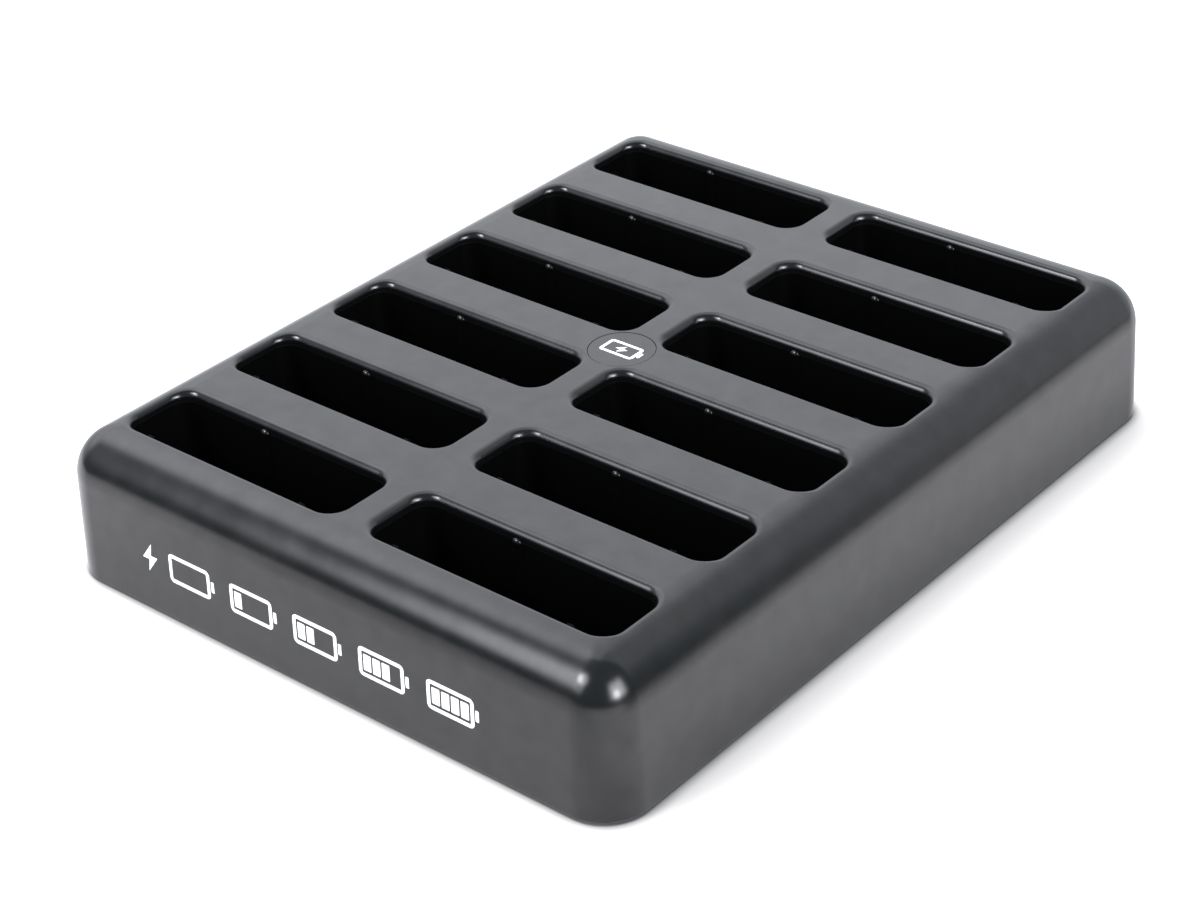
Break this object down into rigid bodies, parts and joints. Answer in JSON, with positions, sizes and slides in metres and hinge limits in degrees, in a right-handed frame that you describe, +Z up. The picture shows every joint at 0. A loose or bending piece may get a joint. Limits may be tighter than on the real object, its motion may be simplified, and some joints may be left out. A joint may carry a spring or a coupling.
{
  "type": "multi-bay charging tray",
  "caption": "Drop-in charging tray for pocket-size bodypack units: moulded shell with deep wells in two columns, sprung contact pins in every well.",
  "frame": {"origin": "on the surface it stands on, under the middle of the tray", "axes": "+Z up out of the wells; +Y along the long side towards the rear wall with the DC inlet; the printed front face looks towards -Y; +X to the right seen from the front"},
  "size_m": [0.254, 0.3244, 0.057],
  "materials": {
    "shell_plastic": "satin moulded ABS, dark charcoal",
    "base_plastic": "fine-textured moulded ABS, black",
    "badge_plastic": "satin moulded ABS, dark charcoal",
    "mark_white": "pad-printed white ink",
    "foot_rubber": "moulded rubber, black",
    "screw_steel": "zinc-plated steel",
    "board_laminate": "green solder mask on glass-epoxy",
    "header_nylon": "natural nylon",
    "capacitor_can": "drawn aluminium can",
    "jack_plastic": "moulded black PBT",
    "block_nylon": "black glass-filled nylon",
    "contact_gold": "gold-plated brass, polished"
  },
  "bodies": {
    "tray": {"top_shell": "shell_plastic", "base_plate": "base_plastic", "badge_disc": "badge_plastic", "rubber_foot_1": "foot_rubber", "rubber_foot_2": "foot_rubber", "rubber_foot_3": "foot_rubber", "rubber_foot_4": "foot_rubber", "base_screw_1": "screw_steel", "base_screw_2": "screw_steel", "base_screw_3": "screw_steel", "base_screw_4": "screw_steel", "base_screw_5": "screw_steel", "base_screw_6": "screw_steel", "base_screw_7": "screw_steel", "base_screw_8": "screw_steel", "charge_board_left": "board_laminate", "charge_board_right": "board_laminate", "power_board": "board_laminate", "link_header_left": "header_nylon", "link_header_right": "header_nylon", "bulk_capacitor": "capacitor_can", "dc_jack": "jack_plastic", "dc_jack_pin": "contact_gold", "contact_block_01": "block_nylon", "contact_block_02": "block_nylon", "contact_block_03": "block_nylon", "contact_block_04": "block_nylon", "contact_block_05": "block_nylon", "contact_block_06": "block_nylon", "contact_block_07": "block_nylon", "contact_block_08": "block_nylon", "contact_block_09": "block_nylon", "contact_block_10": "block_nylon", "contact_block_11": "block_nylon", "contact_block_12": "block_nylon"},
    "contact_pin_01_minus": {"contact_pin_01_minus": "contact_gold"},
    "contact_pin_01_plus": {"contact_pin_01_plus": "contact_gold"},
    "contact_pin_02_minus": {"contact_pin_02_minus": "contact_gold"},
    "contact_pin_02_plus": {"contact_pin_02_plus": "contact_gold"},
    "contact_pin_03_minus": {"contact_pin_03_minus": "contact_gold"},
    "contact_pin_03_plus": {"contact_pin_03_plus": "contact_gold"},
    "contact_pin_04_minus": {"contact_pin_04_minus": "contact_gold"},
    "contact_pin_04_plus": {"contact_pin_04_plus": "contact_gold"},
    "contact_pin_05_minus": {"contact_pin_05_minus": "contact_gold"},
    "contact_pin_05_plus": {"contact_pin_05_plus": "contact_gold"},
    "contact_pin_06_minus": {"contact_pin_06_minus": "contact_gold"},
    "contact_pin_06_plus": {"contact_pin_06_plus": "contact_gold"},
    "contact_pin_07_minus": {"contact_pin_07_minus": "contact_gold"},
    "contact_pin_07_plus": {"contact_pin_07_plus": "contact_gold"},
    "contact_pin_08_minus": {"contact_pin_08_minus": "contact_gold"},
    "contact_pin_08_plus": {"contact_pin_08_plus": "contact_gold"},
    "contact_pin_09_minus": {"contact_pin_09_minus": "contact_gold"},
    "contact_pin_09_plus": {"contact_pin_09_plus": "contact_gold"},
    "contact_pin_10_minus": {"contact_pin_10_minus": "contact_gold"},
    "contact_pin_10_plus": {"contact_pin_10_plus": "contact_gold"},
    "contact_pin_11_minus": {"contact_pin_11_minus": "contact_gold"},
    "contact_pin_11_plus": {"contact_pin_11_plus": "contact_gold"},
    "contact_pin_12_minus": {"contact_pin_12_minus": "contact_gold"},
    "contact_pin_12_plus": {"contact_pin_12_plus": "contact_gold"}
  },
  "joints": [
    {"name": "press_01_minus", "type": "slide", "parent": "tray", "child": "contact_pin_01_minus", "axis": [0, 0, 1], "range_m": [-0.0018, 0], "stiffness_N_per_m": 300, "springref_m": 0.0012},
    {"name": "press_01_plus", "type": "slide", "parent": "tray", "child": "contact_pin_01_plus", "axis": [0, 0, 1], "range_m": [-0.0018, 0], "stiffness_N_per_m": 300, "springref_m": 0.0012},
    {"name": "press_02_minus", "type": "slide", "parent": "tray", "child": "contact_pin_02_minus", "axis": [0, 0, 1], "range_m": [-0.0018, 0], "stiffness_N_per_m": 300, "springref_m": 0.0012},
    {"name": "press_02_plus", "type": "slide", "parent": "tray", "child": "contact_pin_02_plus", "axis": [0, 0, 1], "range_m": [-0.0018, 0], "stiffness_N_per_m": 300, "springref_m": 0.0012},
    {"name": "press_03_minus", "type": "slide", "parent": "tray", "child": "contact_pin_03_minus", "axis": [0, 0, 1], "range_m": [-0.0018, 0], "stiffness_N_per_m": 300, "springref_m": 0.0012},
    {"name": "press_03_plus", "type": "slide", "parent": "tray", "child": "contact_pin_03_plus", "axis": [0, 0, 1], "range_m": [-0.0018, 0], "stiffness_N_per_m": 300, "springref_m": 0.0012},
    {"name": "press_04_minus", "type": "slide", "parent": "tray", "child": "contact_pin_04_minus", "axis": [0, 0, 1], "range_m": [-0.0018, 0], "stiffness_N_per_m": 300, "springref_m": 0.0012},
    {"name": "press_04_plus", "type": "slide", "parent": "tray", "child": "contact_pin_04_plus", "axis": [0, 0, 1], "range_m": [-0.0018, 0], "stiffness_N_per_m": 300, "springref_m": 0.0012},
    {"name": "press_05_minus", "type": "slide", "parent": "tray", "child": "contact_pin_05_minus", "axis": [0, 0, 1], "range_m": [-0.0018, 0], "stiffness_N_per_m": 300, "springref_m": 0.0012},
    {"name": "press_05_plus", "type": "slide", "parent": "tray", "child": "contact_pin_05_plus", "axis": [0, 0, 1], "range_m": [-0.0018, 0], "stiffness_N_per_m": 300, "springref_m": 0.0012},
    {"name": "press_06_minus", "type": "slide", "parent": "tray", "child": "contact_pin_06_minus", "axis": [0, 0, 1], "range_m": [-0.0018, 0], "stiffness_N_per_m": 300, "springref_m": 0.0012},
    {"name": "press_06_plus", "type": "slide", "parent": "tray", "child": "contact_pin_06_plus", "axis": [0, 0, 1], "range_m": [-0.0018, 0], "stiffness_N_per_m": 300, "springref_m": 0.0012},
    {"name": "press_07_minus", "type": "slide", "parent": "tray", "child": "contact_pin_07_minus", "axis": [0, 0, 1], "range_m": [-0.0018, 0], "stiffness_N_per_m": 300, "springref_m": 0.0012},
    {"name": "press_07_plus", "type": "slide", "parent": "tray", "child": "contact_pin_07_plus", "axis": [0, 0, 1], "range_m": [-0.0018, 0], "stiffness_N_per_m": 300, "springref_m": 0.0012},
    {"name": "press_08_minus", "type": "slide", "parent": "tray", "child": "contact_pin_08_minus", "axis": [0, 0, 1], "range_m": [-0.0018, 0], "stiffness_N_per_m": 300, "springref_m": 0.0012},
    {"name": "press_08_plus", "type": "slide", "parent": "tray", "child": "contact_pin_08_plus", "axis": [0, 0, 1], "range_m": [-0.0018, 0], "stiffness_N_per_m": 300, "springref_m": 0.0012},
    {"name": "press_09_minus", "type": "slide", "parent": "tray", "child": "contact_pin_09_minus", "axis": [0, 0, 1], "range_m": [-0.0018, 0], "stiffness_N_per_m": 300, "springref_m": 0.0012},
    {"name": "press_09_plus", "type": "slide", "parent": "tray", "child": "contact_pin_09_plus", "axis": [0, 0, 1], "range_m": [-0.0018, 0], "stiffness_N_per_m": 300, "springref_m": 0.0012},
    {"name": "press_10_minus", "type": "slide", "parent": "tray", "child": "contact_pin_10_minus", "axis": [0, 0, 1], "range_m": [-0.0018, 0], "stiffness_N_per_m": 300, "springref_m": 0.0012},
    {"name": "press_10_plus", "type": "slide", "parent": "tray", "child": "contact_pin_10_plus", "axis": [0, 0, 1], "range_m": [-0.0018, 0], "stiffness_N_per_m": 300, "springref_m": 0.0012},
    {"name": "press_11_minus", "type": "slide", "parent": "tray", "child": "contact_pin_11_minus", "axis": [0, 0, 1], "range_m": [-0.0018, 0], "stiffness_N_per_m": 300, "springref_m": 0.0012},
    {"name": "press_11_plus", "type": "slide", "parent": "tray", "child": "contact_pin_11_plus", "axis": [0, 0, 1], "range_m": [-0.0018, 0], "stiffness_N_per_m": 300, "springref_m": 0.0012},
    {"name": "press_12_minus", "type": "slide", "parent": "tray", "child": "contact_pin_12_minus", "axis": [0, 0, 1], "range_m": [-0.0018, 0], "stiffness_N_per_m": 300, "springref_m": 0.0012},
    {"name": "press_12_plus", "type": "slide", "parent": "tray", "child": "contact_pin_12_plus", "axis": [0, 0, 1], "range_m": [-0.0018, 0], "stiffness_N_per_m": 300, "springref_m": 0.0012}
  ]
}
